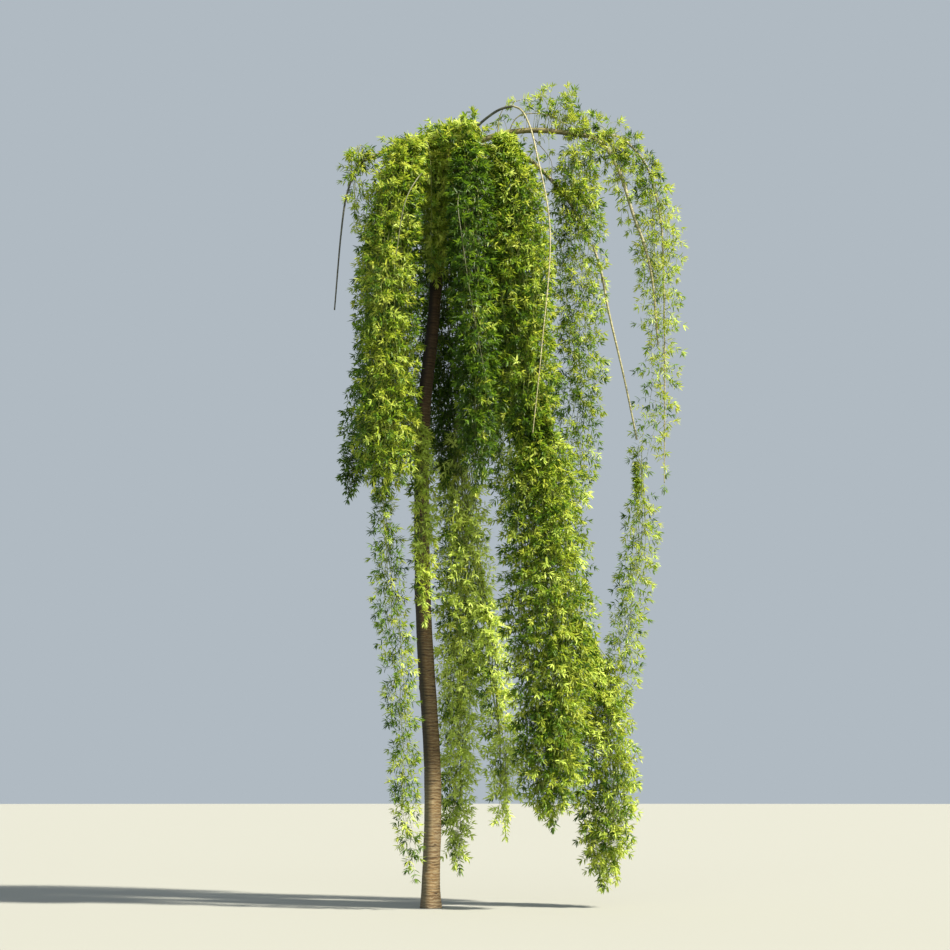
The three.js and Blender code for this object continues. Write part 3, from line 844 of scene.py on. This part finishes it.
# Twigs shorten near a shoot's tip, and where they would pass the outline and its slack.
TIP_SHORT = 0.5
OUTLINE_SHORT = 0.3
OUTLINE_SLACK = 0.07
LEAST_STEP = 0.05
SPRAY_RISE = 0.2
# Tints go in patches, and twigs on the side away from the key light take darker tints as painted shade,
# less so high up.
TINT_PATCH = 1.8
PATCH_DEPTH = 0.25
PAINTED_SHADE_SIDE = 0.3
SUNNY_HEIGHT = 10.0
SUNNY_FADE = 1.8
# Where the front curtains meet, under the fork, most of the twigs take the deepest tint as painted shade.
PAINTED_SHADE_MIDDLE = np.array([0.46, -1.3, 9.5])
PAINTED_SHADE_HALF = np.array([0.32, 1.2, 0.95])
PAINTED_SHADE_SHARE = 0.95
# Curtains whose right edge takes darker tints as painted shade, above a height where it fades out.
PAINTED_SHADE_EDGES = {"leaves_left_front": 0.6}
PAINTED_EDGE_FROM = 0.2
PAINTED_EDGE_FOOT = 7.0
PAINTED_EDGE_FADE = 0.8
PAINTED_EDGE_STEEPNESS = 3
CURTAIN_SEED = 100
shoots_of = {}


def hanging_shoots(mass, source, count, ragged, rng):
    """The lines of a curtain's shoots, spread evenly over its plan."""
    levels = outlines[mass][0]
    top, foot = levels[0], levels[-1]
    lines = []
    for i in range(count):
        spread = math.sqrt((i + 0.5) / count)
        angle = i * GOLDEN_ANGLE + rng.uniform(-PLAN_WOBBLE, PLAN_WOBBLE)
        plan = np.array([math.cos(angle), math.sin(angle)]) * spread
        end = foot + TIP_REACH + (top - foot) * ragged * rng.beta(*FOOT_RAGGED)
        if source in bough_lines:
            wood = bough_lines[source]
            first = wood[-1 - int(rng.uniform(*BOUGH_END) * len(wood))]
            begin = top - (top - foot) * rng.uniform(*HANG_FROM_BOUGH)
        else:
            begin = top - (top - foot) * rng.uniform(*HANG_FROM_SHOOTS)
        z = np.arange(begin, end, -SHOOT_STEP)
        if len(z) < 2:
            continue
        middle, half = outline_at(mass, z)
        room = np.maximum(half - TWIG_REACH, half * LEAST_ROOM)
        starts = rng.uniform(0, 2 * np.pi, (2, 2))
        sways = [
            np.sin(z * slow + a) + QUICK_SWAY * np.sin(z * quick + b)
            for (slow, quick), (a, b) in zip(SWAY_WAVES, starts)
        ]
        sway = SWAY * np.stack(sways, -1)
        line = np.c_[middle + plan * room + sway, z]
        if source not in bough_lines:
            above = np.vstack(shoots_of[source])
            above = above[above[:, 2] > line[0][2] + BRANCH_LEAST]
            first = above[((above - line[0] - (0, 0, BRANCH_RISE)) ** 2).sum(-1).argmin()]
        arch = first + 0.5 * (line[0] - first)
        if source in bough_lines:
            arch[2] = max(first[2], line[0][2]) + rng.uniform(*ARCH_LIFTS.get(mass, ARCH_LIFT))
        lines.append(smooth_line([first, arch, *line], SHOOT_STEP))
    return lines


def twigs_on(lines, spacing, lengths, mix, rng, mass=None, rise=-0.05, bare=0.0):
    """Side twigs along shoots. In a curtain they point outwards, and shorten at its outline."""
    starts, headings, lefts = [], [], []
    for line in lines:
        length = line_length(line)
        number = max(1, int(length * (1 - bare) / spacing))
        order = np.arange(number)
        share = bare + (1 - bare) * (order + rng.uniform(*TWIG_PLACES, number)) / number
        turn = order * GOLDEN_ANGLE + rng.uniform(0, FULL_TURN) + rng.normal(0, TURN_WOBBLE, number)
        level = np.stack([np.cos(turn), np.sin(turn)], -1)
        place = along(line, share)
        if mass:
            middle, half = outline_at(mass, place[:, 2])
            level = unit(level + OUTWARD * (place[:, :2] - middle) / (half + OUTLINE_SLACK))
        # The last twig is the shoot's own tip.
        starts.append(np.vstack([place, line[-1]]))
        sideways = np.c_[level, rng.normal(rise, RISE_WOBBLE, number)]
        headings.append(np.vstack([sideways, line[-1] - line[-2]]))
        lefts.append(np.r_[(1 - share) * length, 0])
    start, heading = np.vstack(starts), unit(np.vstack(headings))
    left = np.concatenate(lefts)
    length = rng.uniform(*lengths, len(start)) * np.clip(TIP_SHORT + left, TIP_SHORT, 1.0)
    if mass:
        middle, half = outline_at(mass, start[:, 2])
        room = half + OUTLINE_SLACK
        before = (start[:, :2] - middle) / room
        after = before + heading[:, :2] * (length[:, None] + LEAF_LENGTH[0]) / room
        near, far = np.linalg.norm(before, axis=1), np.linalg.norm(after, axis=1)
        kept = np.clip((1 - near) / np.maximum(far - near, LEAST_STEP), OUTLINE_SHORT, 1)
        length *= np.where(far > 1, kept, 1)
    shares = np.cumsum(TINT_MIXES[mix])
    patch = np.array([noise.noise(Vector(p) * TINT_PATCH) for p in start])
    # Painted shade: twigs heading away from the key light draw darker tints, except high in the head.
    depth = np.clip((SUNNY_HEIGHT - start[:, 2]) / SUNNY_FADE, 0, 1)
    painted_shade = PAINTED_SHADE_SIDE * depth * np.maximum(0, -heading[:, 0])
    # Painted shade: the right edge of these curtains draws darker tints.
    if mass in PAINTED_SHADE_EDGES:
        fade = np.clip((start[:, 2] - PAINTED_EDGE_FOOT) / PAINTED_EDGE_FADE, 0, 1)
        painted_edge_shade = np.clip((before[:, 0] - PAINTED_EDGE_FROM) * PAINTED_EDGE_STEEPNESS, 0, 1)
        painted_shade += PAINTED_SHADE_EDGES[mass] * fade * painted_edge_shade
    drawn = np.clip(rng.uniform(0, 1, len(start)) + PATCH_DEPTH * patch - painted_shade, 0, 0.999)
    # Painted shade: under the fork, between the front curtains, most twigs get the deepest tint.
    inside = np.linalg.norm((start - PAINTED_SHADE_MIDDLE) / PAINTED_SHADE_HALF, axis=1) < 1
    drawn[inside & (rng.uniform(0, 1, len(start)) < PAINTED_SHADE_SHARE)] = 0
    return {
        "start": start,
        "heading": heading,
        "length": length,
        "droop": rng.uniform(*TWIG_DROOP, len(start)),
        "tint": np.searchsorted(shares / shares[-1], drawn),
    }


def joined(twigs, more):
    """Two lots of twigs as one."""
    return {name: np.concatenate([values, more[name]]) for name, values in twigs.items()}


def grow_foliage(mass, lines, twigs, mix, rng):
    """Makes a leaf mass's two pieces, its stems and its leaves, in place of the CAD solid."""
    if mass in BOUGH_SPRAYS:
        boughs, spacing, lengths = BOUGH_SPRAYS[mass]
        wood = [bough_lines[bough] for bough in boughs]
        twigs = joined(twigs, twigs_on(wood, spacing, lengths, mix, rng, rise=SPRAY_RISE))
    open_mass = mass in OPEN_MASSES
    radii = OPEN_SHOOT_RADIUS if open_mass else SHOOT_RADIUS
    stem_points, stem_faces = stems_mesh(lines, *radii)
    twig_points, twig_faces = twigs_mesh(twigs)
    stems = piece_from_arrays(
        mass.replace("leaves_", "shoots_"),
        np.vstack([stem_points, twig_points]),
        np.vstack([stem_faces, twig_faces + len(stem_points)]),
        [stem_material],
    )
    tufts, width = (OPEN_TUFTS, OPEN_LEAF_WIDTH) if open_mass else (TUFTS, LEAF_WIDTH)
    points, faces, tints = leaves_mesh(twigs, tufts, width, rng)
    blades = piece_from_arrays(mass + "_blades", points, faces, leaf_materials, tints)
    for piece in (stems, blades):
        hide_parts(mass)
        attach(piece, "root")


for index, (mass, settings) in enumerate(CURTAINS.items()):
    source, shoots, spacing, lengths, mix, ragged = settings
    rng = np.random.default_rng(CURTAIN_SEED + index)
    lines = hanging_shoots(mass, source, shoots, ragged, rng)
    shoots_of[mass] = lines
    twigs = twigs_on(lines, spacing, lengths, mix, rng, mass, bare=BARE_TOPS.get(mass, 0.0))
    grow_foliage(mass, lines, twigs, mix, rng)

# The crests are this year's upright growth on top of the boughs: short shoots that rise from the
# bough, fan out, and nod at their tips. Each crest: its boughs, number of shoots, spacing of twigs,
# twig lengths, the mix of tints, and the share of a shoot that is bare.
CRESTS = {
    "leaves_crest_right": (
        ("bough_right_high", "bough_right_outer"), 56, 0.12, (0.05, 0.24), "airy", 0.65
    ),
    "leaves_crown_top": (
        ("bough_left_high", "bough_right_high"), 145, 0.13, (0.08, 0.20), "middling", 0.0
    ),
}
CREST_SEED = 200
CREST_MARGIN = 0.06
# Where a crest has its peak, from left to right, and the height that it stays under elsewhere.
CREST_PEAKS = {"leaves_crown_top": (-0.05, 0.6, 10.6)}
# A crest shoot starts at one of this many nearest points of wood, and bends over at this share of
# its way, this far above the straight line.
CREST_STARTS = 12
CREST_BEND = 0.55
CREST_ARCH = (0.04, 0.16)
CREST_RISE = 0.7
CREST_STEP = 0.12
# Short hanging shoots under boughs, in with each crest: how many a bough has, the shares of its
# length that they grow between, and how far they hang.
FRINGES = {
    "leaves_crest_right": {
        "bough_right_high": (11, (0.5, 1.0), (0.25, 0.75)),
        "bough_right_outer": (18, (0.0, 0.45), (0.15, 0.5)),
        "bough_right_inner": (6, (0.05, 0.4), (0.15, 0.45)),
    },
    "leaves_crown_top": {
        "bough_front_left": (18, (0.4, 0.85), (0.5, 1.9)),
        "bough_front": (8, (0.5, 0.9), (0.4, 1.3)),
    },
}
# They leave the bough sideways by this much, rise a little on the way, and are bare at the top.
FRINGE_ASIDE = (0.08, 0.3)
FRINGE_BEND = 0.6
FRINGE_LIFT = 0.06
FRINGE_BARE = 0.2


def crest_shoots(mass, boughs, count, rng):
    """Short shoots from the boughs to points spread through the crest, a margin inside it."""
    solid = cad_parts[mass].data
    hull = BVHTree.FromPolygons([v.co for v in solid.vertices], [p.vertices for p in solid.polygons])
    low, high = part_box(mass)
    left, right, shoulder = CREST_PEAKS.get(mass, (0, 0, high[2]))
    wood = np.vstack([bough_lines[b] for b in boughs])
    lines = []
    while len(lines) < count:
        target = Vector([rng.uniform(a, b) for a, b in zip(low, high)])
        hit, facing, _, depth = hull.find_nearest(target)
        if (target - hit).dot(facing) > 0 or depth < CREST_MARGIN:
            continue
        if not left < target.x < right and target.z > shoulder:
            continue
        near = wood[np.argsort(((wood - target) ** 2).sum(-1))[int(rng.uniform(0, CREST_STARTS))]]
        target = np.array(target)
        arch = near + CREST_BEND * (target - near) + np.array([0, 0, rng.uniform(*CREST_ARCH)])
        lines.append(smooth_line([near, arch, target], CREST_STEP))
    return lines


def fringe_shoots(bough, count, shares, drops, rng):
    """Shoots that leave a bough sideways, bend over and hang."""
    wood = bough_lines[bough]
    lines = []
    for share in rng.uniform(*shares, count):
        first = along(wood, share)
        turn, drop = rng.uniform(0, 2 * np.pi), rng.uniform(*drops)
        aside = np.array([math.cos(turn), math.sin(turn), 0.0]) * rng.uniform(*FRINGE_ASIDE)
        arch = first + FRINGE_BEND * aside + (0, 0, FRINGE_LIFT)
        lines.append(smooth_line([first, arch, first + aside - (0, 0, drop)], CREST_STEP))
    return lines


for index, (mass, (boughs, count, spacing, lengths, mix, bare)) in enumerate(CRESTS.items()):
    rng = np.random.default_rng(CREST_SEED + index)
    lines = crest_shoots(mass, boughs, count, rng)
    twigs = twigs_on(lines, spacing, lengths, mix, rng, rise=CREST_RISE, bare=bare)
    fringe = [line for b, fit in FRINGES[mass].items() for line in fringe_shoots(b, *fit, rng)]
    twigs = joined(twigs, twigs_on(fringe, spacing, lengths, mix, rng, bare=FRINGE_BARE))
    grow_foliage(mass, lines + fringe, twigs, mix, rng)

# The floor is a plain pale disc under the tree, wide enough to meet the pale background far off.
FLOOR_RADIUS = 400.0
FLOOR_SIDES = 180
floor_shape = bmesh.new()
bmesh.ops.create_circle(floor_shape, cap_ends=True, segments=FLOOR_SIDES, radius=FLOOR_RADIUS)
floor_mesh = bpy.data.meshes.new("floor")
floor_shape.to_mesh(floor_mesh)
floor_shape.free()
floor_material, floor_tree = new_material("matt_pale_paint")
floor_paint = add_node(
    floor_tree, "ShaderNodeBsdfPrincipled", inputs={"Base Color": linear("#7f827d"), "Roughness": 0.9}
)
add_node(floor_tree, "ShaderNodeOutputMaterial", inputs={"Surface": floor_paint.outputs["BSDF"]})
floor_mesh.materials.append(floor_material)
floor = bpy.data.objects.new("floor", floor_mesh)
bpy.context.scene.collection.objects.link(floor)

# The light is a bright key from the front right, high up, with soft edges to its shadows, a weak
# broad light from the front, and an even pale light all round.
KEY_STRENGTH = 13.5
KEY_SOFTNESS = math.radians(4)
KEY_FROM = Vector((0.61, -0.33, 0.74))
FILL_STRENGTH = 0.62
FRONT_STRENGTH = 1.6
FRONT_SOFTNESS = math.radians(60)
FRONT_FROM = Vector((0.0, -0.95, 0.3))

for name, strength, softness, colour, source in (
    ("key", KEY_STRENGTH, KEY_SOFTNESS, "#fff4e2", KEY_FROM),
    ("front", FRONT_STRENGTH, FRONT_SOFTNESS, "#ffffff", FRONT_FROM),
):
    lamp_data = bpy.data.lights.new(name, "SUN")
    lamp_data.energy = strength
    lamp_data.angle = softness
    lamp_data.color = linear(colour)[:3]
    lamp = bpy.data.objects.new(name, lamp_data)
    lamp.rotation_euler = source.to_track_quat("Z", "Y").to_euler()
    bpy.context.scene.collection.objects.link(lamp)

world = bpy.data.worlds.new("pale_surround")
world.use_nodes = True
world.node_tree.nodes.clear()
surround = add_node(
    world.node_tree, "ShaderNodeBackground",
    inputs={"Color": linear("#dae6f0"), "Strength": FILL_STRENGTH},
)
add_node(world.node_tree, "ShaderNodeOutputWorld", inputs={"Surface": surround.outputs[0]})
bpy.context.scene.world = world
bpy.context.scene.view_settings.view_transform = "Standard"
